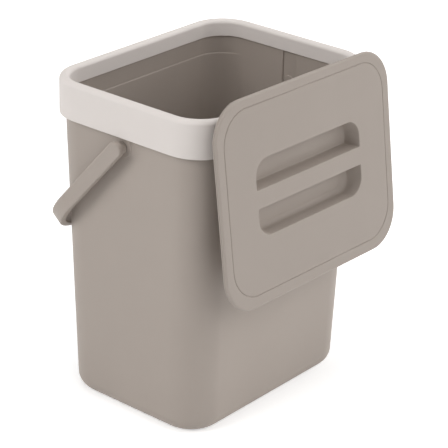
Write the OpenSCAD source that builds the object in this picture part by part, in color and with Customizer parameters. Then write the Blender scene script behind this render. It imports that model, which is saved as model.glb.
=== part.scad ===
// Compost caddy: tapered pail, bag ring over its rim, bail handle, and a lift-off lid hung on the front of the ring.
// X runs along the front face, Y towards the back and Z up. The origin is the middle of the footprint, on the floor.

/* [Overall] */
// Width across the ring, the widest part of the body
caddy_w = 200; // [160:1:250]
// Depth across the ring, front to back
caddy_d = 156; // [130:1:200]
// Height from the floor to the top of the ring
caddy_h = 255.3; // [200:0.1:320]
// Corner radius of the ring's outside
ring_corner = 30.7; // [22:0.1:40]

/* [Pail] */
// How much narrower the base is than the shoulder, in width
taper_w = 9.4; // [0:0.1:16]
// How much narrower the base is than the shoulder, in depth
taper_d = 13.4; // [0:0.1:16]
// Vertical corner radius of the pail's outside
pail_corner = 27.3; // [24:0.1:36]
// Wall thickness of the pail
pail_wall = 2; // [1.6:0.1:3]
// Thickness of the pail's floor
floor_t = 2.6; // [2:0.1:4]
// Radius of the rounded edge round the base
base_round = 11.4; // [6:0.1:14]
// Depth of the hollow under the base
base_hollow = 1.2; // [0.5:0.1:2]
// Width of the flat ring that the pail stands on
foot_w = 5; // [3:0.5:10]
// Height of the small step on the inside, above the ring's lower edge
throat_rise = 1.4; // [0.5:0.1:4]

/* [Ring] */
// Height of the ring's outer skirt
ring_skirt = 28.7; // [20:0.1:40]
// How far the ring stands out past the pail's shoulder
ring_overhang = 4.3; // [4:0.05:10]
// Width of the ring's top, from its outside to its opening
ring_top_w = 7.7; // [7:0.1:12]
// Height of the ring's inner skirt
ring_drop = 13; // [10:0.1:18]
// Wall thickness of the outer skirt
skirt_wall = 1.8; // [1.4:0.1:2.4]
// Wall thickness of the inner skirt
drop_wall = 1.6; // [1.2:0.1:2]
// Thickness of the ring's top
ring_top_t = 2.2; // [1.6:0.1:3]
// Radius of the outer edge of the ring's top
lip_outer_r = 3.4; // [2:0.1:3.5]
// Radius of the inner edge of the ring's top
lip_inner_r = 3; // [0.5:0.1:3.2]
// Radius of the skirt's lower edge
skirt_edge_r = 0.7; // [0.3:0.1:0.8]
// Thickness of the ribs that centre the ring on the rim
rib_t = 1.6; // [1:0.1:3]
// Distance of each rib from the middle of its side, as a share of that side's half
rib_at = 0.5; // [0.3:0.05:0.6]

/* [Handle] */
// Width of the strap
strap_w = 12; // [9:0.1:16]
// Thickness of the strap
strap_t = 5.4; // [4:0.1:7]
// Outer radius of the bail's corners
bail_corner = 45; // [20:0.5:55]
// Angle of the bail below level when it lies against the back
bail_rest = 48.5; // [40:0.5:55]
// Height of the pivot line below the ring's lower edge
pivot_drop = 8.1; // [7:0.1:12]
// Distance of the pivot line behind the middle
pivot_y = 1.2; // [-2:0.1:3]
// Radius of the studs on the bail's ends
stud_r = 3.5; // [2.5:0.1:4.5]
// Radius of the washer-like boss between strap and pad
boss_r = 4.6; // [4.6:0.1:5.5]
// How far the stud's snap head reaches past its hole, all round
head_over = 0.7; // [0.4:0.1:1]
// Thickness of the snap head
head_t = 1.2; // [0.8:0.1:2]
// Radius of the pail's raised pad round the pivot
pad_r = 8; // [6.5:0.1:10]
// Wall thickness along the sides of each pad
pad_wall = 1.5; // [1:0.1:2]
// Wall thickness of each pad's face
pad_face = 1.2; // [1:0.1:1.6]

/* [Lid] */
// How much narrower the lid is than the ring
lid_short_w = 1; // [0:0.5:6]
// How much less deep the lid is than the ring
lid_short_d = 2; // [0:0.5:6]
// Corner radius of the lid
lid_corner = 28.5; // [20:0.1:38]
// Thickness of the lid's plate
lid_t = 4; // [3:0.1:5]
// Radius of the plate's outer edge
lid_edge_r = 1.8; // [0.8:0.1:2]
// Distance of the groove from the lid's edge
groove_in = 8.2; // [5:0.1:12]
// Corner radius of the groove
groove_corner = 25; // [16:0.1:30]
// Width of the groove
groove_w = 0.9; // [0.5:0.1:1.5]
// Depth of the groove
groove_deep = 0.5; // [0.3:0.1:1]
// Height of the plug flange under the lid
plug_h = 6; // [4:0.1:8]
// Wall thickness of the plug flange
plug_wall = 2; // [1.5:0.1:2.5]

/* [Grip] */
// Width of the two finger pockets
grip_w = 120; // [80:1:130]
// Height from the lower pocket's far edge to the upper pocket's far edge
grip_h = 57; // [50:0.5:70]
// Distance of the grip and the groove above the lid's middle
face_up = 1; // [-2:0.1:2]
// Width of the bar between the pockets
bar_w = 14; // [10:0.1:20]
// Depth of the pockets
grip_deep = 12.5; // [8:0.1:14]
// Radius of the pockets' outer corners
grip_corner = 13; // [8:0.5:18]
// How far the pockets' walls lean in at the floor
grip_draft = 1.8; // [0.5:0.1:3]
// How much further the pockets' end walls lean in
end_draft = 3.4; // [0:0.1:6]
// Wall thickness round the pockets
grip_wall = 1.8; // [1.4:0.1:2.2]

/* [Hanging] */
// Lean of the hung lid from upright, top edge towards the pail
lid_lean = 8.1; // [4:0.1:10]
// Turn of the hung lid out of level, right side down
lid_turn = 0.7; // [0:0.1:1.5]
// Distance of each hook from the middle
hook_x = 50; // [30:1:60]
// Width of each hook
hook_w = 18; // [10:1:24]
// Thickness of a hook's arm
hook_t = 3; // [2.5:0.1:4]
// Gap between the plug's outside and the hook's arm
hook_in = 0.5; // [0.5:0.1:2]
// Thickness of the lip at a hook's end
lip_t = 2; // [1.5:0.1:3]
// How far the lip reaches down behind the ring
lip_drop = 5.6; // [4:0.1:7]
// Distance between the ring's inner wall and the hook's lip
lip_clear = 2.4; // [2:0.1:4]
// Thickness of the hook's seat, which leans on the ring's outside
seat_t = 4.45; // [2:0.05:6]
// Height of the hook's seat
seat_h = 9; // [6:0.5:12]

/* [Clearances] */
// Gap between loose pieces that rest on each other
rest_gap = 0.3; // [0.2:0.05:0.6]
// Gap between the plug flange and the ring's opening, each side
plug_gap = 0.6; // [0.4:0.1:1]
// Radial gap between stud and hole
stud_gap = 0.05; // [0.02:0.01:0.1]
// Gap between the handle's arms and the ring's sides
arm_gap = 0.4; // [0.3:0.1:1]
// Gap between the handle's crossbar and the pail's back
bar_gap = 1; // [0.7:0.1:2]

/* [Hidden] */

overlap = 0.01;
hull_fn = 40;
arc_fn = 96;
slice_t = 0.01;
round_steps = 6;

// Heights
ring_bottom = caddy_h - ring_skirt;
throat_z = ring_bottom + throat_rise;
shoulder_t = 1;
drop_z = caddy_h - ring_drop;
ring_ceiling = caddy_h - ring_top_t;
rim_top = ring_ceiling - rest_gap;
floor_z = base_hollow + floor_t;
pivot_z = ring_bottom - pivot_drop;

// How far each wall lies inside the ring's outside
rim_in = ring_top_w - drop_wall - rest_gap;
rim_out = rim_in - pail_wall;

// Places across X
rim_x = caddy_w / 2 - rim_out;
pad_x = max(rim_x, caddy_w / 2 - ring_overhang);
recess_x = pad_x - pad_face;
inside_x = caddy_w / 2 - ring_overhang - base_round;
arm_x = caddy_w / 2 + arm_gap;
bore_r = stud_r + stud_gap;
head_x = recess_x - rest_gap - head_t;

// Bail at rest: the lower corner of its crossbar just clears the sloping back of the pail
strap_half = strap_w / 2;
back_slope = taper_d / 2 / throat_z;
base_back_y = caddy_d / 2 - ring_overhang - taper_d / 2;
corner_drop = strap_half * cos(bail_rest);
corner_fore = strap_half * sin(bail_rest);
bar_y = base_back_y + back_slope * (pivot_z - corner_drop) + bar_gap;
bail_inner = (bar_y + corner_fore - pivot_y) / (cos(bail_rest) + back_slope * sin(bail_rest));
bail_reach = bail_inner + strap_t;

// Lid, flat: its outside lies on z 0, and y points to the edge with the hooks
lid_w = caddy_w - lid_short_w;
lid_d = caddy_d - lid_short_d;
plug_w = caddy_w - 2 * (ring_top_w + plug_gap);
plug_d = caddy_d - 2 * (ring_top_w + plug_gap);
plug_corner = ring_corner - ring_top_w - plug_gap;
hook_top = plug_d / 2 - hook_in;
hook_under = hook_top - hook_t;
lip_low = hook_under - lip_drop;

// Lid, hung, as [y, z]: the hooks rest on the ring's inner edge, and their seats lean on its front
upward = [sin(lid_lean), cos(lid_lean)];
inward = [cos(lid_lean), -sin(lid_lean)];
rest_edge = [ring_top_w - lip_inner_r - caddy_d / 2, caddy_h];
lean_edge = [-caddy_d / 2, caddy_h - lip_outer_r];
low_hook = (hook_x + hook_w / 2) * sin(lid_turn);
hang_up = rest_edge * upward + rest_gap + low_hook - hook_under;
hang_in = lean_edge * inward - lid_t - seat_t - rest_gap;
lid_pos = hang_up * upward + hang_in * inward;
lip_y = ring_top_w + lip_clear - caddy_d / 2;
lip_from = (lip_y - lid_pos[0] - lip_low * upward[0]) / inward[0];

// Colours
taupe = [0.66, 0.62, 0.58];
off_white = [0.86, 0.84, 0.81];

// Repeats its children on the -X side
module on_both_sides() {
    children();
    mirror([1, 0, 0]) children();
}

// Flat rounded rectangle, centred
module rounded_rect(w, d, r) {
    for (x = [-1, 1], y = [-1, 1])
        translate([x * (w / 2 - r), y * (d / 2 - r)]) circle(r, $fn = arc_fn);
    square([w - 2 * r, d], center = true);
    square([w, d - 2 * r], center = true);
}

// Sweeps a flat profile round a rounded rectangle; the profile's x is the distance outside it, and its y is height
module sweep_round(w, d, r) {
    for (i = [0 : 3]) {
        far = i % 2 == 0 ? w / 2 : d / 2;
        run = i % 2 == 0 ? d / 2 - r : w / 2 - r;
        rotate([0, 0, 90 * i]) {
            translate([far - r, run, 0])
                rotate_extrude(angle = 90, $fn = arc_fn) translate([r, 0]) children();
            translate([far, run, 0])
                rotate([90, 0, 0]) linear_extrude(2 * run) children();
        }
    }
}

// Upright prism whose outline lies a given distance inside the ring's outside
module ring_prism(inset, from_z, to_z) {
    translate([0, 0, from_z])
        linear_extrude(to_z - from_z)
            rounded_rect(caddy_w - 2 * inset, caddy_d - 2 * inset, ring_corner - inset);
}

// Thin level slice of the tapered body at height z, a given distance inside its outer skin
module body_slice(z, inset) {
    share = 1 - z / throat_z;
    r = pail_corner - inset;
    w = caddy_w - 2 * ring_overhang - taper_w * share - 2 * inset;
    d = caddy_d - 2 * ring_overhang - taper_d * share - 2 * inset;
    translate([0, 0, z])
        linear_extrude(slice_t)
            for (x = [-1, 1], y = [-1, 1])
                translate([x * (w / 2 - r), y * (d / 2 - r)]) circle(r, $fn = hull_fn);
}

// Tapered body with a rounded base edge, a given distance inside its outer skin
module body_hull(inset, bottom, top) {
    r = base_round - inset;
    hull() {
        for (i = [0 : round_steps]) {
            turn = 90 * i / round_steps;
            body_slice(bottom + r * (1 - sin(turn)), inset + r * (1 - cos(turn)));
        }
        body_slice(top - slice_t, inset);
    }
}

// Tongue round the +X pivot: round below, straight up to the given height, reaching out to out_x
module pivot_tongue(r, out_x, top) {
    translate([inside_x, pivot_y, pivot_z]) {
        rotate([0, 90, 0]) cylinder(h = out_x - inside_x, r = r, $fn = arc_fn);
        translate([0, -r, 0]) cube([out_x - inside_x, 2 * r, top - pivot_z]);
    }
}

// Shallow hollow under the base, which leaves a flat ring to stand on
module base_hollow_cut() {
    inset = base_round + foot_w;
    w = caddy_w - 2 * ring_overhang - taper_w - 2 * inset;
    d = caddy_d - 2 * ring_overhang - taper_d - 2 * inset;
    translate([0, 0, -base_hollow])
        linear_extrude(2 * base_hollow) rounded_rect(w, d, pail_corner - inset);
}

module pail() {
    color(taupe)
        difference() {
            union() {
                body_hull(0, 0, throat_z);
                ring_prism(rim_out, throat_z - shoulder_t, rim_top);
                on_both_sides() pivot_tongue(pad_r, pad_x, throat_z);
            }
            body_hull(pail_wall, floor_z, throat_z + overlap);
            ring_prism(rim_in, throat_z, rim_top + pail_wall);
            on_both_sides() {
                pivot_tongue(pad_r - pad_wall, recess_x, drop_z);
                translate([inside_x, pivot_y, pivot_z])
                    rotate([0, 90, 0]) cylinder(h = base_round + ring_overhang, r = bore_r, $fn = arc_fn);
            }
            base_hollow_cut();
        }
}

// Section of the ring: outer skirt, rounded top and inner skirt, with the ring's outside on x 0
module ring_section() {
    difference() {
        union() {
            translate([-lip_outer_r, caddy_h - lip_outer_r]) circle(lip_outer_r, $fn = arc_fn);
            translate([lip_inner_r - ring_top_w, caddy_h - lip_inner_r]) circle(lip_inner_r, $fn = arc_fn);
            translate([lip_inner_r - ring_top_w, ring_ceiling])
                square([ring_top_w - lip_inner_r - lip_outer_r, ring_top_t]);
            translate([-skirt_wall, ring_bottom + skirt_edge_r])
                square([skirt_wall, ring_skirt - skirt_edge_r - lip_outer_r]);
            translate([-skirt_edge_r, ring_bottom + skirt_edge_r]) circle(skirt_edge_r, $fn = arc_fn);
            translate([-skirt_wall, ring_bottom]) square([skirt_wall - skirt_edge_r, skirt_edge_r]);
            translate([-ring_top_w, caddy_h - ring_drop]) square([drop_wall, ring_drop - lip_inner_r]);
        }
        translate([drop_wall - ring_top_w, ring_bottom])
            square([ring_top_w - drop_wall - skirt_wall, ring_skirt - ring_top_t]);
    }
}

// Rib on the +X side of a body whose half width is half_w, inside the skirt and clear of the rim
module ring_rib(half_w, along) {
    reach = rim_out - skirt_wall - rest_gap;
    translate([half_w - skirt_wall - reach, along - rib_t / 2, drop_z])
        cube([reach + overlap, rib_t, ring_ceiling - drop_z + overlap]);
}

module bag_ring() {
    side_at = rib_at * caddy_d / 2;
    front_at = rib_at * caddy_w / 2;
    color(off_white) {
        sweep_round(caddy_w, caddy_d, ring_corner) ring_section();
        for (turn = [0, 180], along = [-1, 1])
            rotate([0, 0, turn]) {
                ring_rib(caddy_w / 2, along * side_at);
                rotate([0, 0, 90]) ring_rib(caddy_d / 2, along * front_at);
            }
    }
}

// Flat U: two arms from y 0, joined by a bar whose far side lies at reach
module flat_bail(half_w, reach, r) {
    translate([-half_w, 0]) square([2 * half_w, reach - r]);
    translate([r - half_w, 0]) square([2 * (half_w - r), reach]);
    for (side = [-1, 1])
        translate([side * (half_w - r), reach - r]) circle(r, $fn = arc_fn);
}

// Pin along X, from one place across to another
module cross_pin(from_x, to_x, r) {
    translate([from_x, 0, 0]) rotate([0, 90, 0]) cylinder(h = to_x - from_x, r = r, $fn = arc_fn);
}

module handle() {
    color(taupe)
        translate([0, pivot_y, pivot_z])
            rotate([-bail_rest, 0, 0]) {
                linear_extrude(strap_w, center = true)
                    difference() {
                        flat_bail(arm_x + strap_t, bail_reach, bail_corner);
                        translate([0, -strap_w])
                            flat_bail(arm_x, bail_inner + strap_w, bail_corner - strap_t);
                    }
                on_both_sides() {
                    cross_pin(arm_x, arm_x + strap_t, strap_half);
                    cross_pin(pad_x + rest_gap, arm_x + overlap, boss_r);
                    cross_pin(head_x, arm_x + overlap, stud_r);
                    cross_pin(head_x, head_x + head_t, stud_r + head_over);
                }
            }
}

// Section of the lid's plate near its edge, with its rounded outside on x 0
module lid_edge_section() {
    translate([-groove_in, -lid_t]) square([groove_in - lid_edge_r, lid_t]);
    translate([-lid_edge_r, lid_edge_r - lid_t]) square([lid_edge_r, lid_t - 2 * lid_edge_r]);
    for (y = [-lid_edge_r, lid_edge_r - lid_t])
        translate([-lid_edge_r, y]) circle(lid_edge_r, $fn = arc_fn);
}

// Rounded rectangle of the groove's middle line, grown all round by a given distance
module groove_outline(grow) {
    rounded_rect(lid_w - 2 * (groove_in - grow), lid_d - 2 * (groove_in - grow), groove_corner + grow);
}

// Ring that the groove takes out of the lid's face
module groove_cut() {
    translate([0, 0, -groove_deep])
        linear_extrude(2 * groove_deep)
            difference() {
                groove_outline(groove_w / 2);
                groove_outline(-groove_w / 2);
            }
}

// Upper finger pocket's outline, a given distance inside its mouth, and its ends further in
module pocket_outline(inset, end_in) {
    intersection() {
        rounded_rect(grip_w - 2 * (inset + end_in), grip_h - 2 * inset, grip_corner - inset);
        translate([-grip_w, bar_w / 2 + inset]) square([2 * grip_w, grip_h]);
    }
}

// Tapered block that fills both finger pockets, grown all round by a wall
module pockets(wall, mouth) {
    for (side = [0, 1])
        mirror([0, side, 0])
            hull() {
                translate([0, 0, mouth - slice_t])
                    linear_extrude(slice_t) pocket_outline(-wall, 0);
                translate([0, 0, -grip_deep - wall])
                    linear_extrude(slice_t) pocket_outline(grip_draft - wall, end_draft);
            }
}

// Hook at one place along the lid's edge: seat, arm and the lip at its end
module lid_hook(x) {
    translate([x - hook_w / 2, 0, 0]) {
        translate([0, hook_under, -lip_from - lip_t])
            cube([hook_w, hook_t, lip_from + lip_t - lid_t + overlap]);
        translate([0, lip_low, -lip_from - lip_t]) cube([hook_w, lip_drop + overlap, lip_t]);
        translate([0, hook_under - seat_h, -lid_t - seat_t])
            cube([hook_w, seat_h + overlap, seat_t + overlap]);
    }
}

module lid_flat() {
    middle_in = groove_in - groove_w;
    difference() {
        union() {
            sweep_round(lid_w, lid_d, lid_corner) lid_edge_section();
            translate([0, 0, -lid_t])
                linear_extrude(lid_t)
                    rounded_rect(lid_w - 2 * middle_in, lid_d - 2 * middle_in, lid_corner - middle_in);
            translate([0, 0, -lid_t - plug_h])
                linear_extrude(plug_h + overlap)
                    difference() {
                        rounded_rect(plug_w, plug_d, plug_corner);
                        rounded_rect(plug_w - 2 * plug_wall, plug_d - 2 * plug_wall, plug_corner - plug_wall);
                    }
            translate([0, face_up, 0]) pockets(grip_wall, -lid_t);
            for (side = [-1, 1]) lid_hook(side * hook_x);
        }
        translate([0, face_up, 0]) {
            pockets(0, overlap);
            groove_cut();
        }
    }
}

module lid() {
    color(taupe)
        translate([0, lid_pos[0], lid_pos[1]])
            rotate([90 - lid_lean, 0, 0]) rotate([0, 0, -lid_turn]) lid_flat();
}

pail();
bag_ring();
handle();
lid();
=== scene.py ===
from math import cos, pi, radians, sin
import bmesh
import bpy
from mathutils import Matrix, Vector


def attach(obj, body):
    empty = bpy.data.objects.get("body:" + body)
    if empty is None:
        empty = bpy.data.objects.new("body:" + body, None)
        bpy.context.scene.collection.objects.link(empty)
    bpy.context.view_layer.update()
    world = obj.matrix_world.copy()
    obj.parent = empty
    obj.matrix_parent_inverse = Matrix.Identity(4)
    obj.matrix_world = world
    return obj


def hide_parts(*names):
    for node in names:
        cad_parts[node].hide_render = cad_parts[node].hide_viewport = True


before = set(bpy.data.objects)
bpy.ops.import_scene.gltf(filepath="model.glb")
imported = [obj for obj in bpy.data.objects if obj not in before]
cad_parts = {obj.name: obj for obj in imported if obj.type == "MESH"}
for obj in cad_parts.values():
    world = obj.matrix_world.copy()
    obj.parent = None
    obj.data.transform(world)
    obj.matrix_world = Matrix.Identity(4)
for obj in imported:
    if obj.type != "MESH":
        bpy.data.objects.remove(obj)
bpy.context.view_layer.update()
print("frame loaded:", ", ".join(sorted(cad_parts)))

scene = bpy.context.scene
scene.view_settings.view_transform = "Standard"
mm = 0.001  # pieces are drawn in millimetres and scaled once at the end
cornerSteps = 14
touching = 1e-4  # closer than this counts as in the same place


class Wire:
    # An output socket that can be used in sums

    def __init__(self, paint, socket):
        self.paint = paint
        self.socket = socket

    def maths(self, operation, first, second):
        return self.paint.node("ShaderNodeMath", {"operation": operation}, {0: first, 1: second})

    def __add__(self, other):
        return self.maths("ADD", self, other)

    def __radd__(self, other):
        return self.maths("ADD", other, self)

    def __sub__(self, other):
        return self.maths("SUBTRACT", self, other)

    def __rsub__(self, other):
        return self.maths("SUBTRACT", other, self)

    def __mul__(self, other):
        return self.maths("MULTIPLY", self, other)

    def __rmul__(self, other):
        return self.maths("MULTIPLY", other, self)


class Paint:
    # A node material, or the world, with one way to add any node

    def __init__(self, owner):
        owner.use_nodes = True
        self.owner = owner
        self.tree = owner.node_tree
        self.tree.nodes.clear()

    def node(self, kind, settings, inputs, output=0):
        made = self.tree.nodes.new(kind)
        for name, value in settings.items():
            if name == "stops":
                self.setStops(made.color_ramp, value)
            else:
                setattr(made, name, value)
        for name, value in inputs.items():
            self.plug(made.inputs[name], value)
        return Wire(self, made.outputs[output]) if made.outputs else None

    def plug(self, socket, value):
        if isinstance(value, Wire):
            self.tree.links.new(value.socket, socket)
        else:
            socket.default_value = value

    def setStops(self, ramp, stops):
        while len(ramp.elements) < len(stops):
            ramp.elements.new(0.5)
        for element, (position, value) in zip(ramp.elements, stops):
            element.position = position
            element.color = (value, value, value, 1)

    def mixColour(self, factor, first, second, blendType="MIX"):
        return self.node(
            "ShaderNodeMix",
            {"data_type": "RGBA", "blend_type": blendType},
            {0: factor, 6: first, 7: second},
            output=2,
        )


mottleShare = 0.6  # the rest of the shade comes from the flow pattern
speckShare = 0.6  # the rest of the grain's height comes from the pits
refraction = 1.49


def mouldedPlastic(name, look):
    # Matt moulded plastic: fine spark texture, faint flow mottling and a few soft rub marks
    paint = Paint(bpy.data.materials.new(name))
    place = paint.node("ShaderNodeTexCoord", {}, {}, output="Object")
    mottle = paint.node(
        "ShaderNodeTexNoise",
        {},
        {"Vector": place, "Scale": look["mottleScale"], "Detail": 3, "Roughness": 0.55},
    )
    stretch = (1, 1, look["flowStretch"])
    stretched = paint.node("ShaderNodeMapping", {}, {"Vector": place, "Scale": stretch})
    flow = paint.node("ShaderNodeTexNoise", {}, {"Vector": stretched, "Scale": look["flowScale"], "Detail": 2})
    speck = paint.node(
        "ShaderNodeTexNoise",
        {},
        {"Vector": place, "Scale": look["grainScale"], "Detail": 2, "Roughness": 0.6},
    )
    pit = paint.node(
        "ShaderNodeTexVoronoi",
        {"feature": "SMOOTH_F1"},
        {"Vector": place, "Scale": look["pitScale"], "Smoothness": 0.6},
    )
    shade = mottle * mottleShare + flow * (1 - mottleShare)
    colour = paint.mixColour(shade, look["darker"], look["lighter"])
    colour = paint.mixColour(speck * look["speckStrength"], colour, look["speckColour"])
    rubbed = paint.node("ShaderNodeValToRGB", {"stops": [(0.52, 0.0), (0.74, 1.0)]}, {"Fac": flow})
    height = speck * speckShare + pit * (1 - speckShare)
    bump = paint.node(
        "ShaderNodeBump",
        {},
        {"Strength": look["grainStrength"], "Distance": look["grainHeight"] * mm, "Height": height},
    )
    wave = paint.node("ShaderNodeTexNoise", {}, {"Vector": place, "Scale": look["waveScale"], "Detail": 1})
    swell = paint.node(
        "ShaderNodeBump",
        {},
        {"Strength": 1.0, "Distance": look["waveHeight"] * mm, "Height": wave, "Normal": bump},
    )
    shader = paint.node(
        "ShaderNodeBsdfPrincipled",
        {},
        {
            "Base Color": colour,
            "Roughness": look["roughness"] + mottle * look["roughnessSpread"] - rubbed * look["rubShine"],
            "Normal": swell,
            "IOR": refraction,
            "Specular IOR Level": look["specular"],
        },
    )
    paint.node("ShaderNodeOutputMaterial", {}, {"Surface": shader})
    return paint.owner


def rgb(red, green, blue):
    return (red, green, blue, 1)


def roundCorners(bm, verts, radius, steps):
    bmesh.ops.bevel(
        bm,
        geom=verts,
        offset=radius,
        segments=steps,
        profile=0.5,
        affect="VERTICES",
        material=-1,
        clamp_overlap=False,
    )


def softenEdges(bm, edges, soft, steps):
    bmesh.ops.bevel(bm, geom=edges, offset=soft, segments=steps, profile=0.5, affect="EDGES", material=-1)


def roundedLoop(bm, width, depth, radius, height, middle=0):
    # A level rounded rectangle, kept as its ring of edges; its middle may lie off the X axis
    verts = bmesh.ops.create_grid(bm, x_segments=1, y_segments=1, size=0.5)["verts"]
    bmesh.ops.scale(bm, vec=(width, depth, 1), verts=verts)
    bmesh.ops.translate(bm, vec=(0, middle, height), verts=verts)
    face = verts[0].link_faces[0]
    keep = set(bm.faces) - {face}
    roundCorners(bm, verts, radius, cornerSteps)
    face = [f for f in bm.faces if f not in keep][0]
    edges = list(face.edges)
    bmesh.ops.delete(bm, geom=[face], context="FACES_ONLY")
    return edges


def skin(bm, loops, closed=False):
    # Faces from each loop to the next; two loops in one plane would be bridged crosswise,
    # so one is lifted meanwhile
    lift = Vector((0, 0, 33.3))
    for first, second in zip(loops, loops[1:] + (loops[:1] if closed else [])):
        verts = list({vert for edge in second for vert in edge.verts})
        bmesh.ops.translate(bm, vec=lift, verts=verts)
        bmesh.ops.bridge_loops(bm, edges=first + second)
        bmesh.ops.translate(bm, vec=-lift, verts=verts)


def arcPoints(inset, height, radius, start, end, steps=6):
    # (inset, height) pairs along an arc of a section, where 0 degrees points outwards and 90 up
    turns = [radians(start + (end - start) * i / steps) for i in range(steps + 1)]
    return [(inset - radius * cos(turn), height + radius * sin(turn)) for turn in turns]


def softBox(bm, low, high, soft=0.3):
    verts = bmesh.ops.create_cube(bm, size=1)["verts"]
    size = [b - a for a, b in zip(low, high)]
    middle = [(a + b) / 2 for a, b in zip(low, high)]
    bmesh.ops.scale(bm, vec=size, verts=verts)
    bmesh.ops.translate(bm, vec=middle, verts=verts)
    softenEdges(bm, list({edge for vert in verts for edge in vert.link_edges}), soft, 2)


def newObject(name, bm, scaled=True):
    bmesh.ops.remove_doubles(bm, verts=bm.verts, dist=0.0005)
    bmesh.ops.dissolve_degenerate(bm, edges=bm.edges, dist=0.0005)
    bmesh.ops.recalc_face_normals(bm, faces=bm.faces)
    if scaled:
        bmesh.ops.scale(bm, vec=(mm, mm, mm), verts=bm.verts)
    mesh = bpy.data.meshes.new(name)
    bm.to_mesh(mesh)
    bm.free()
    obj = bpy.data.objects.new(name, mesh)
    scene.collection.objects.link(obj)
    return obj


def carve(obj, tool, operation):
    # Joins a helper shape to a piece or cuts it out, and throws the helper away
    change = obj.modifiers.new(operation.title(), "BOOLEAN")
    change.operation = operation
    change.solver = "EXACT"
    change.object = tool
    bpy.context.view_layer.update()
    done = bpy.data.meshes.new_from_object(obj.evaluated_get(bpy.context.evaluated_depsgraph_get()))
    obj.modifiers.clear()
    obj.data = done
    bpy.data.objects.remove(tool)


def finishPiece(obj, material, body, node, sharpAngle=32):
    obj.data.materials.clear()
    obj.data.materials.append(material)
    obj.data.shade_smooth()
    obj.data.set_sharp_from_angle(angle=radians(sharpAngle))
    weighted = obj.modifiers.new("Flat sides stay flat", "WEIGHTED_NORMAL")
    weighted.keep_sharp = True
    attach(obj, body)
    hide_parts(node)
    print(f"{obj.name} done: {len(obj.data.polygons)} faces")


# The ring's outside is what the pail's rim and the lid are measured from
ringShape = {
    "width": 200,
    "depth": 156,
    "corner": 30.7,
    "bottom": 226.6,
    "top": 255.3,
    "topWidth": 7.7,  # from the outside to the opening
    "outerLip": 3.4,
    "innerLip": 3,
    "skirtWall": 1.8,
    "dropWall": 1.6,
    "dropBottom": 242.3,
    "ceiling": 253.1,
    "lowerEdge": 0.7,
    "dropEdge": 0.4,
    "ribWidth": 1.6,
    "ribReach": 1.7,  # the ribs centre the ring on the rim
    "ribSink": 0.4,  # how far they run into skirt and ceiling
    "ribAt": 0.5,  # share of each side's half
}
ringLook = {
    "darker": rgb(0.75, 0.698, 0.664),
    "lighter": rgb(0.794, 0.739, 0.704),
    "speckColour": rgb(0.68, 0.626, 0.589),
    "speckStrength": 0.12,
    "mottleScale": 35,
    "flowScale": 18,
    "flowStretch": 3,
    "grainScale": 1500,
    "pitScale": 1100,
    "grainStrength": 0.35,
    "grainHeight": 0.02,
    "waveScale": 14,
    "waveHeight": 0.05,
    "roughness": 0.55,
    "roughnessSpread": 0.08,
    "rubShine": 0.05,
    "specular": 0.35,
}


def ringLevel(inset, height):
    return (
        ringShape["width"] - 2 * inset,
        ringShape["depth"] - 2 * inset,
        ringShape["corner"] - inset,
        height,
    )


def makeRing():
    s = ringShape
    edge = s["lowerEdge"]
    drop = s["topWidth"]
    section = arcPoints(edge, s["bottom"] + edge, edge, -90, 0, 4)
    section += arcPoints(s["outerLip"], s["top"] - s["outerLip"], s["outerLip"], 0, 90, 9)
    section += arcPoints(drop - s["innerLip"], s["top"] - s["innerLip"], s["innerLip"], 90, 180, 9)
    section += arcPoints(drop - s["dropEdge"], s["dropBottom"] + s["dropEdge"], s["dropEdge"], 180, 270, 3)
    section += [(drop - s["dropWall"], s["dropBottom"]), (drop - s["dropWall"], s["ceiling"])]
    section += [(s["skirtWall"], s["ceiling"]), (s["skirtWall"], s["bottom"])]
    bm = bmesh.new()
    skin(bm, [roundedLoop(bm, *ringLevel(*point)) for point in section], closed=True)
    reach, sink, half = s["ribReach"], s["ribSink"], s["ribWidth"] / 2
    for side in (-1, 1):
        for along in (-s["ribAt"], s["ribAt"]):
            x = side * (s["width"] / 2 - s["skirtWall"])
            y = along * s["depth"] / 2
            low = [min(x + side * sink, x - side * reach), y - half, s["dropBottom"]]
            high = [max(x + side * sink, x - side * reach), y + half, s["ceiling"] + sink]
            softBox(bm, low, high, 0.2)
            y = side * (s["depth"] / 2 - s["skirtWall"])
            x = along * s["width"] / 2
            low = [x - half, min(y + side * sink, y - side * reach), s["dropBottom"]]
            high = [x + half, max(y + side * sink, y - side * reach), s["ceiling"] + sink]
            softBox(bm, low, high, 0.2)
    ring = newObject("bag_ring_shell", bm)
    finishPiece(ring, mouldedPlastic("off white plastic", ringLook), "ring", "bag_ring")


pailShape = {
    "width": 191.4,  # outside, at the throat
    "depth": 147.4,
    "taperWidth": 9.4,  # how much narrower the base is
    "taperDepth": 13.4,
    "corner": 27.3,
    "wall": 2,
    "throat": 228,
    "baseRound": 11.4,
    "hollow": 1.2,
    "foot": 5,
    "floor": 3.8,
    "ledgeLow": 227.3,
    "ledgeHigh": 228.5,
    "rimTop": 252.8,
    "rimOut": 3.8,  # insets from the ring's outside
    "rimIn": 5.8,
    "rimEdge": 0.6,
    "shoulder": 226.6,  # where the body ends under the ring
    "padRadius": 8,
    "padFrom": 94.3,
    "padOut": 96.15,
    "padSoft": 0.5,
    "recessRadius": 6.5,
    "recessFrom": 84,
    "recessOut": 95,
    "recessTop": 242,
    "recessSoft": 0.4,
    "mouth": (92.5, 94.1),  # from where to where the recess flares
    "mouthSpread": 0.37,
    "bore": 3.55,
    "boreLong": 20,
    "pivot": (1.2, 218.5),  # y and z
}
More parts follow.
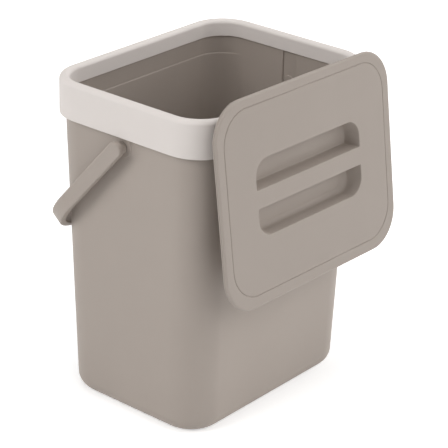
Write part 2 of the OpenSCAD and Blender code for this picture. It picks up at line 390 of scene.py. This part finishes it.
taupeLook = {
    "darker": rgb(0.397, 0.344, 0.304),
    "lighter": rgb(0.432, 0.376, 0.334),
    "speckColour": rgb(0.33, 0.285, 0.25),
    "speckStrength": 0.14,
    "mottleScale": 30,
    "flowScale": 14,
    "flowStretch": 0.35,
    "grainScale": 1500,
    "pitScale": 1100,
    "grainStrength": 0.45,
    "grainHeight": 0.03,
    "waveScale": 10,
    "waveHeight": 0.08,
    "roughness": 0.52,
    "roughnessSpread": 0.08,
    "rubShine": 0.05,
    "specular": 0.4,
}


def dimmedLook(look, share):
    # The same finish with every colour scaled by share; on the lid this darker copy is painted shade, since
    # the lid is the pail's own plastic
    changed = dict(look)
    for name in ("darker", "lighter", "speckColour"):
        changed[name] = rgb(*[channel * share for channel in look[name][:3]])
    return changed


def bodyLevel(inset, height):
    s = pailShape
    share = 1 - height / s["throat"]
    return (
        s["width"] - s["taperWidth"] * share - 2 * inset,
        s["depth"] - s["taperDepth"] * share - 2 * inset,
        s["corner"] - inset,
        height,
    )


def betweenLevels(first, second, share):
    return tuple(a + (b - a) * share for a, b in zip(first, second))


def tongue(radius, fromX, toX, top, soft=0.0, spread=0.0):
    # A tab about the pivot, round below and straight above, standing out along X; its root may spread
    y, z = pailShape["pivot"]
    bm = bmesh.new()
    verts = bmesh.ops.create_grid(bm, x_segments=1, y_segments=1, size=0.5)["verts"]
    bmesh.ops.rotate(bm, cent=(0, 0, 0), matrix=Matrix.Rotation(radians(90), 3, "Y"), verts=verts)
    bmesh.ops.scale(bm, vec=(1, 2 * radius, top - z + radius), verts=verts)
    bmesh.ops.translate(bm, vec=(fromX, y, (top + z - radius) / 2), verts=verts)
    low = [v for v in bm.verts if v.co.z < z]
    roundCorners(bm, low, radius * 0.9999, 16)
    bmesh.ops.remove_doubles(bm, verts=bm.verts, dist=0.005)
    made = bmesh.ops.extrude_face_region(bm, geom=list(bm.faces))
    moved = [v for v in made["geom"] if isinstance(v, bmesh.types.BMVert)]
    bmesh.ops.translate(bm, vec=(toX - fromX, 0, 0), verts=moved)
    root = [v for v in bm.verts if v not in moved]
    bmesh.ops.translate(bm, vec=(0, -y, -z), verts=root)
    bmesh.ops.scale(bm, vec=(1, 1 + spread, 1 + spread), verts=root)
    bmesh.ops.translate(bm, vec=(0, y, z), verts=root)
    if soft:
        rim = [e for e in bm.edges if all(abs(v.co.x - toX) < touching for v in e.verts)]
        softenEdges(bm, rim, soft, 4)
    return bm


def bothSides(name, makeHalf):
    # A helper shape on +X and its mirror on -X
    bm = makeHalf()
    bmesh.ops.mirror(bm, geom=list(bm.verts) + list(bm.edges) + list(bm.faces), axis="X", merge_dist=-1)
    return newObject(name, bm)


def boreTool():
    y, z = pailShape["pivot"]
    bm = bmesh.new()
    radius = pailShape["bore"]
    verts = bmesh.ops.create_cone(
        bm, cap_ends=True, segments=40, radius1=radius, radius2=radius, depth=pailShape["boreLong"]
    )["verts"]
    bmesh.ops.rotate(bm, cent=(0, 0, 0), matrix=Matrix.Rotation(radians(90), 3, "Y"), verts=verts)
    bmesh.ops.translate(bm, vec=(pailShape["recessOut"], y, z), verts=verts)
    return bm


def makePail():
    s = pailShape
    hollowEdge = s["baseRound"] + s["foot"]
    outside = [(hollowEdge, s["hollow"]), (hollowEdge, 0.3), (hollowEdge - 0.3, 0)]
    outside += arcPoints(s["baseRound"], s["baseRound"], s["baseRound"], -90, 0, 10)
    outside += [(0, s["shoulder"])]
    edge = s["rimEdge"]
    rim = [(s["rimOut"] + 0.2, 226.95), (s["rimOut"], 227.15)]  # a small fillet on the shoulder
    rim += arcPoints(s["rimOut"] + edge, s["rimTop"] - edge, edge, 0, 90, 3)
    rim += arcPoints(s["rimIn"] - edge, s["rimTop"] - edge, edge, 90, 180, 3)
    levels = [bodyLevel(*p) for p in outside] + [ringLevel(*p) for p in rim]
    below = bodyLevel(s["wall"], s["ledgeLow"])
    above = below[:1] + ringLevel(s["rimIn"], s["ledgeHigh"])[1:]  # only the front and back have a ledge
    ledge = [(0, 0), (0.15, 0.04), (0.32, 0.2), (0.5, 0.5), (0.68, 0.8), (0.85, 0.96), (1, 1)]
    for down, across in ledge:
        level = betweenLevels(above, below, across)
        levels.append(level[:3] + (betweenLevels(above, below, down)[3],))
    innerRound = s["baseRound"] - s["wall"]
    inner = arcPoints(s["baseRound"], s["floor"] + innerRound, innerRound, 0, -90, 10)
    levels += [bodyLevel(*p) for p in inner]
    bm = bmesh.new()
    loops = [roundedLoop(bm, *level) for level in levels]
    skin(bm, loops)
    for end in (loops[0], loops[-1]):
        bmesh.ops.contextual_create(bm, geom=end)
    pail = newObject("pail_shell", bm)
    pad = (s["padRadius"], s["padFrom"], s["padOut"], s["throat"])
    recess = (s["recessRadius"], s["recessFrom"], s["recessOut"], s["recessTop"])
    mouth = (s["recessRadius"], *s["mouth"], s["recessTop"])
    carve(pail, bothSides("pads", lambda: tongue(*pad, soft=s["padSoft"])), "UNION")
    carve(pail, bothSides("recesses", lambda: tongue(*recess, soft=s["recessSoft"])), "DIFFERENCE")
    carve(pail, bothSides("mouths", lambda: tongue(*mouth, spread=s["mouthSpread"])), "DIFFERENCE")
    carve(pail, bothSides("bores", boreTool), "DIFFERENCE")
    finishPiece(pail, mouldedPlastic("taupe plastic", taupeLook), "pail", "pail")


handleShape = {
    "inside": 100.4,  # half the clear width between the arms
    "strapThick": 5.4,
    "strapWide": 12,
    "reach": 118.743,  # from the pivot line to the crossbar's far side
    "corner": 45,
    "soft": 1.3,
    "rest": 48.5,  # degrees below level
    "boss": 4.6,
    "bossFrom": 96.5,
    "bossSoft": 0.3,
    "bossSink": 0.6,  # how far it runs into the arm
    "stud": 3.5,
    "head": 4.2,
    "headSoft": 0.4,
    "headFrom": 93.5,
    "headTo": 94.7,
    "shade": 0.98,  # of the pail's plastic
}


def studOutline():
    # Half section of stud, snap head and boss, as (x, radius)
    s = handleShape
    root = s["inside"] + s["bossSink"]
    return [
        (s["headFrom"], 0),
        (s["headFrom"], s["head"] - s["headSoft"]),
        (s["headFrom"] + s["headSoft"], s["head"]),
        (s["headTo"], s["head"]),
        (s["headTo"], s["stud"]),
        (s["bossFrom"], s["stud"]),
        (s["bossFrom"], s["boss"] - s["bossSoft"]),
        (s["bossFrom"] + s["bossSoft"], s["boss"]),
        (root, s["boss"]),
        (root, 0),
    ]


def makeHandle():
    s = handleShape
    out = s["inside"] + s["strapThick"]
    half = s["strapWide"] / 2
    bm = bmesh.new()
    outline = [(-out, -half), (-out, s["reach"]), (out, s["reach"]), (out, -half)]
    inner = s["reach"] - s["strapThick"]
    clear = s["inside"]
    outline += [(clear, -half), (clear, inner), (-clear, inner), (-clear, -half)]
    verts = [bm.verts.new((x, y, 0)) for x, y in outline]
    bm.faces.new(verts)
    bends = ((verts[5:7], s["corner"] - s["strapThick"]), (verts[1:3], s["corner"]))
    for corners, radius in bends:
        roundCorners(bm, corners, radius, 24)
    made = bmesh.ops.extrude_face_region(bm, geom=list(bm.faces))
    raised = [v for v in made["geom"] if isinstance(v, bmesh.types.BMVert)]
    bmesh.ops.translate(bm, vec=(0, 0, s["strapWide"]), verts=raised)
    bmesh.ops.translate(bm, vec=(0, 0, -half), verts=bm.verts)
    ends = []
    for edge in bm.edges:
        first, second = edge.verts
        atEnd = all(abs(vert.co.y + half) < touching for vert in edge.verts)
        if atEnd and abs(first.co.z - second.co.z) < touching:
            ends.append(edge)
    bmesh.ops.bevel(
        bm,
        geom=ends,
        offset=half * 0.9999,
        segments=12,
        profile=0.5,
        affect="EDGES",
        material=-1,
        clamp_overlap=False,
    )
    bmesh.ops.remove_doubles(bm, verts=bm.verts, dist=0.005)
    bmesh.ops.recalc_face_normals(bm, faces=bm.faces)
    hard = [e for e in bm.edges if len(e.link_faces) == 2 and e.calc_face_angle(0) > radians(50)]
    softenEdges(bm, hard, s["soft"], 4)
    for side in (-1, 1):
        points = [bm.verts.new((side * x, r, 0)) for x, r in studOutline()]
        edges = [bm.edges.new(pair) for pair in zip(points, points[1:])]
        bmesh.ops.spin(
            bm, geom=points + edges, cent=(0, 0, 0), axis=(1, 0, 0), angle=2 * pi, steps=32, use_merge=True
        )
    y, z = pailShape["pivot"]
    bmesh.ops.rotate(bm, cent=(0, 0, 0), matrix=Matrix.Rotation(radians(-s["rest"]), 3, "X"), verts=bm.verts)
    bmesh.ops.translate(bm, vec=(0, y, z), verts=bm.verts)
    handle = newObject("bail_handle", bm)
    plastic = mouldedPlastic("taupe handle plastic", dimmedLook(taupeLook, s["shade"]))
    finishPiece(handle, plastic, "handle", "handle")


lidShape = {
    "width": 199,
    "depth": 154,
    "corner": 28.5,
    "thick": 4,
    "edge": 1.8,
    "crease": 0.3,  # depth of the fine line round the rim
    "faceUp": 1,  # how far groove and grip lie above the middle
    "grooveIn": 8.2,
    "grooveCorner": 25,
    "grooveWide": 0.9,
    "grooveDeep": 0.5,
    "plugWidth": 183.4,
    "plugDepth": 139.4,
    "plugCorner": 22.4,
    "plugHigh": 6,
    "plugWall": 2,
    "plugSoft": 0.6,
    "gripWidth": 120,
    "gripHigh": 57,
    "gripCorner": 13,
    "bar": 14,
    "barCorner": 1.0,
    "gripDeep": 12.5,
    "draft": 1.8,
    "endDraft": 3.4,  # further lean of the pockets' end walls
    "gripWall": 1.8,
    "mouthSoft": 0.5,
    "farFillet": 3.6,
    "barFillet": 0.8,
    "barShellFillet": 1.5,
    "hookAt": 50,
    "hookWide": 18,
    "hookTop": 69.2,
    "hookThick": 3,
    "lipDrop": 5.6,
    "lipEnd": 20.95,
    "lipThick": 1.95,
    "seatHigh": 9,
    "seatEnd": 8.42,
    "hookSoft": 0.6,
    "hookSink": 0.8,  # how far lip and seat run into the hook
    "lean": 8.1,  # degrees from upright
    "turn": 0.7,  # degrees out of level, right side down
    "place": (0, -95.280, 192.588),
    # The lid's darkening of the pail's plastic below is painted shade
    "shade": 0.93,  # of the pail's plastic
}


def lidLevel(inset, height):
    s = lidShape
    return (s["width"] - 2 * inset, s["depth"] - 2 * inset, s["corner"] - inset, height)


def pocketLoop(bm, side, farIn, barIn, farHeight, barHeight):
    # The outline of one finger pocket; farIn and barIn say how far it has drawn in, and it may slope
    s = lidShape
    nearY = s["bar"] / 2 + barIn
    farY = s["gripHigh"] / 2 - farIn
    endIn = farIn - s["endDraft"] * farHeight / s["gripDeep"]
    verts = bmesh.ops.create_grid(bm, x_segments=1, y_segments=1, size=0.5)["verts"]
    bmesh.ops.scale(bm, vec=(s["gripWidth"] - 2 * endIn, farY - nearY, 1), verts=verts)
    bmesh.ops.translate(bm, vec=(0, (farY + nearY) / 2, 0), verts=verts)
    keep = set(bm.faces) - {verts[0].link_faces[0]}
    near = [v for v in verts if v.co.y < (farY + nearY) / 2]
    far = [v for v in verts if v not in near]
    for corners, radius in ((near, s["barCorner"]), (far, s["gripCorner"] - farIn)):
        roundCorners(bm, corners, radius, 10)
    face = [f for f in bm.faces if f not in keep][0]
    loop = list(face.edges)
    slope = (farHeight - barHeight) / (farY - nearY)
    verts = list(face.verts)
    for vert in verts:
        vert.co.z = barHeight + slope * (vert.co.y - nearY)
    bmesh.ops.delete(bm, geom=[face], context="FACES_ONLY")
    bmesh.ops.scale(bm, vec=(1, side, 1), verts=verts)
    bmesh.ops.translate(bm, vec=(0, s["faceUp"], 0), verts=verts)
    return loop


def pocketSkin(bm, side):
    # Mouth, leaning walls, filleted floor; returns the mouth's loop
    s = lidShape
    deep = s["gripDeep"]
    soft = s["mouthSoft"]
    rows = []
    for step in range(4):
        turn = radians(30 * step)
        inset, height = soft * (sin(turn) - 1), soft * (cos(turn) - 1)
        rows.append((inset, inset, height, height))
    for step in range(7):
        turn = radians(15 * step)
        far, bar = s["farFillet"], s["barFillet"]
        lean = s["draft"] * (1 - (1 - sin(turn)) * far / deep)
        leanBar = s["draft"] * (1 - (1 - sin(turn)) * bar / deep)
        rows.append(
            (
                lean + far * (1 - cos(turn)),
                leanBar + bar * (1 - cos(turn)),
                far * (1 - sin(turn)) - deep,
                bar * (1 - sin(turn)) - deep,
            )
        )
    loops = [pocketLoop(bm, side, *row) for row in rows]
    skin(bm, loops)
    bmesh.ops.contextual_create(bm, geom=loops[-1])
    return loops[0]


def pocketShell(bm, side):
    # The pocket's outside under the lid; returns the loop where it leaves the plate
    s = lidShape
    wall = s["gripWall"]
    bottom = -s["gripDeep"] - wall
    rows = [(-wall, -wall, -s["thick"], -s["thick"])]
    for step in range(5):
        turn = radians(22.5 * step)
        far, bar = s["farFillet"] + wall, s["barShellFillet"]
        inset = s["draft"] - wall + far * (1 - cos(turn))
        insetBar = s["draft"] - wall + bar * (1 - cos(turn))
        rows.append((inset, insetBar, bottom + far * (1 - sin(turn)), bottom + bar * (1 - sin(turn))))
    loops = [pocketLoop(bm, side, *row) for row in rows]
    skin(bm, loops)
    bmesh.ops.contextual_create(bm, geom=loops[-1])
    return loops[0]


def fillFlat(bm, edges):
    # Flat face with holes between an outer loop and the pockets
    bmesh.ops.triangle_fill(bm, use_beauty=True, use_dissolve=False, edges=edges, normal=(0, 0, 1))


def lidHook(bm, x):
    s = lidShape
    side = s["hookWide"] / 2
    under = s["hookTop"] - s["hookThick"]
    root = 0.5 - s["thick"]  # half a millimetre into the plate
    end = -s["lipEnd"]
    left, right, over = x - side, x + side, under + s["hookSink"]
    softBox(bm, (left, under, end), (right, s["hookTop"], root), s["hookSoft"])
    softBox(bm, (left, under - s["lipDrop"], end), (right, over, s["lipThick"] + end), s["hookSoft"])
    softBox(bm, (left, under - s["seatHigh"], -s["seatEnd"]), (right, over, root), s["hookSoft"])


def makeLid():
    s = lidShape
    edge = s["edge"]
    grooveHalf = s["grooveWide"] / 2
    face = [(s["crease"], -s["thick"] / 2)] + arcPoints(edge, -edge, edge, 0, 90, 7)
    groove = [
        (grooveHalf + 0.15, 0),
        (grooveHalf - 0.05, -0.12),
        (0.15, -s["grooveDeep"]),
        (-0.15, -s["grooveDeep"]),
        (0.05 - grooveHalf, -0.12),
        (-0.15 - grooveHalf, 0),
        (-3, 0),
    ]
    back = arcPoints(edge, edge - s["thick"], edge, 0, -90, 5)
    bm = bmesh.new()
    faceLoops = [roundedLoop(bm, *lidLevel(*point)) for point in face]
    for grow, height in groove:
        inset = s["grooveIn"] - grow
        size = (s["width"] - 2 * inset, s["depth"] - 2 * inset, s["grooveCorner"] + grow, height)
        faceLoops.append(roundedLoop(bm, *size, middle=s["faceUp"]))
    backLoops = [roundedLoop(bm, *lidLevel(*point)) for point in back]
    soft, plugWall = s["plugSoft"], s["plugWall"]
    plugEnd = -s["thick"] - s["plugHigh"]
    plug = [(0, -s["thick"]), (0, plugEnd + soft), (soft, plugEnd)]
    plug += [(plugWall - soft, plugEnd), (plugWall, plugEnd + soft), (plugWall, -s["thick"])]
    for inset, height in plug:
        width, depth = s["plugWidth"] - 2 * inset, s["plugDepth"] - 2 * inset
        backLoops.append(roundedLoop(bm, width, depth, s["plugCorner"] - inset, height))
    skin(bm, [*reversed(backLoops), *faceLoops])
    fillFlat(bm, faceLoops[-1] + pocketSkin(bm, 1) + pocketSkin(bm, -1))
    fillFlat(bm, backLoops[-1] + pocketShell(bm, 1) + pocketShell(bm, -1))
    for side in (-1, 1):
        lidHook(bm, side * s["hookAt"])
    for angle, axis in ((-s["turn"], "Z"), (90 - s["lean"], "X")):
        turned = Matrix.Rotation(radians(angle), 3, axis)
        bmesh.ops.rotate(bm, cent=(0, 0, 0), matrix=turned, verts=bm.verts)
    bmesh.ops.translate(bm, vec=s["place"], verts=bm.verts)
    lid = newObject("lid_plate", bm)
    # Painted shade: the pail's plastic made darker for the lid
    plastic = mouldedPlastic("taupe lid plastic with painted shade", dimmedLook(taupeLook, s["shade"]))
    finishPiece(lid, plastic, "lid", "lid")


makePail()
makeRing()
makeHandle()
makeLid()

studio = {
    "worldLight": 0.0,
    "floorSize": 14,
    "floorColour": rgb(0.95, 0.95, 0.95),
    "floorGlow": 0.45,  # seen directly and in reflections only; keeps the floor white and its soft shadow
    "glowRise": (0.7, 2.4),  # metres from the object between which the glow grows to full white
    "aim": (0, 0, 0.13),
    "lamps": {  # power, width and place of soft boxes that stand all round
        "front": (20, 2.0, (0.2, -3.8, 1.05)),
        "front high": (28, 2.0, (0.9, -2.9, 2.7)),
        "front right low": (5, 2.0, (2.3, -3.1, 1.1)),
        "front right": (13, 2.0, (2.6, -2.4, 1.8)),
        "front corner": (19, 1.4, (-1.6, -2.9, 2.3)),
        "left": (64, 2.0, (-3.2, 0.9, 2.6)),
        "left low": (33, 2.0, (-2.8, 2.8, 1.05)),
        "right": (61, 2.0, (3.6, -0.7, 1.1)),
        "top": (32, 2.0, (0, 0.1, 3.0)),
    },
}


def seenDirectly(paint):
    # 1 for camera, glossy and transmission rays, 0 for light that falls on the object
    path = paint.tree.nodes.new("ShaderNodeLightPath")
    names = ("Is Camera Ray", "Is Glossy Ray", "Is Transmission Ray")
    rays = [Wire(paint, path.outputs[name]) for name in names]
    total = rays[0] + rays[1] + rays[2]
    return paint.node("ShaderNodeClamp", {}, {"Value": total})


def makeStudio():
    s = studio
    world = bpy.data.worlds.new("studio")
    scene.world = world
    paint = Paint(world)
    light = s["worldLight"]
    colour = paint.mixColour(seenDirectly(paint), rgb(light, light, light), rgb(1, 1, 1))
    sky = paint.node("ShaderNodeBackground", {}, {"Color": colour, "Strength": 1.0})
    paint.node("ShaderNodeOutputWorld", {}, {"Surface": sky})

    bm = bmesh.new()
    bmesh.ops.create_grid(bm, x_segments=1, y_segments=1, size=s["floorSize"] / 2)
    floor = newObject("floor", bm, scaled=False)
    floorPaint = Paint(bpy.data.materials.new("floor white"))
    glow = s["floorGlow"]
    spot = floorPaint.node("ShaderNodeTexCoord", {}, {}, output="Object")
    away = floorPaint.node("ShaderNodeVectorMath", {"operation": "LENGTH"}, {"Vector": spot}, output="Value")
    near, far = s["glowRise"]
    rise = floorPaint.node("ShaderNodeMapRange", {}, {"Value": away, "From Min": near, "From Max": far})
    glowColour = floorPaint.mixColour(rise, rgb(glow, glow, glow), rgb(1, 1, 1))
    seen = floorPaint.mixColour(seenDirectly(floorPaint), rgb(0, 0, 0), glowColour)
    shader = floorPaint.node(
        "ShaderNodeBsdfPrincipled",
        {},
        {
            "Base Color": s["floorColour"],
            "Roughness": 0.9,
            "Specular IOR Level": 0.0,
            "Emission Color": seen,
            "Emission Strength": 1.0,
        },
    )
    floorPaint.node("ShaderNodeOutputMaterial", {}, {"Surface": shader})
    floor.data.materials.append(floorPaint.owner)

    for name, (power, width, place) in s["lamps"].items():
        lamp = bpy.data.lights.new(name, "AREA")
        lamp.energy = power
        lamp.size = width
        lampObject = bpy.data.objects.new(name, lamp)
        lampObject.location = place
        lampObject.visible_glossy = False
        aim = Vector(s["aim"]) - Vector(place)
        lampObject.rotation_euler = aim.to_track_quat("-Z", "Y").to_euler()
        scene.collection.objects.link(lampObject)
    print("studio done")


view = {
    "place": (-1.01908, -0.86143, 0.73382),
    "azimuth": -50.28,
    "elevation": 24.45,
    "roll": 1.48,
    "lens": 153.73,
}


def makeCamera():
    turn, tilt, roll = (radians(view[name]) for name in ("azimuth", "elevation", "roll"))
    back = Vector((sin(turn) * cos(tilt), -cos(turn) * cos(tilt), sin(tilt)))
    level = Vector((cos(turn), sin(turn), 0))
    upright = back.cross(level)
    right = cos(roll) * level + sin(roll) * upright
    up = cos(roll) * upright - sin(roll) * level
    data = bpy.data.cameras.new("camera")
    data.sensor_width = 36
    data.lens = view["lens"]
    camera = bpy.data.objects.new("camera", data)
    facing = Matrix((right, up, back)).transposed()
    camera.matrix_world = Matrix.LocRotScale(Vector(view["place"]), facing, None)
    scene.collection.objects.link(camera)
    scene.camera = camera
    print("camera done")


makeStudio()
makeCamera()
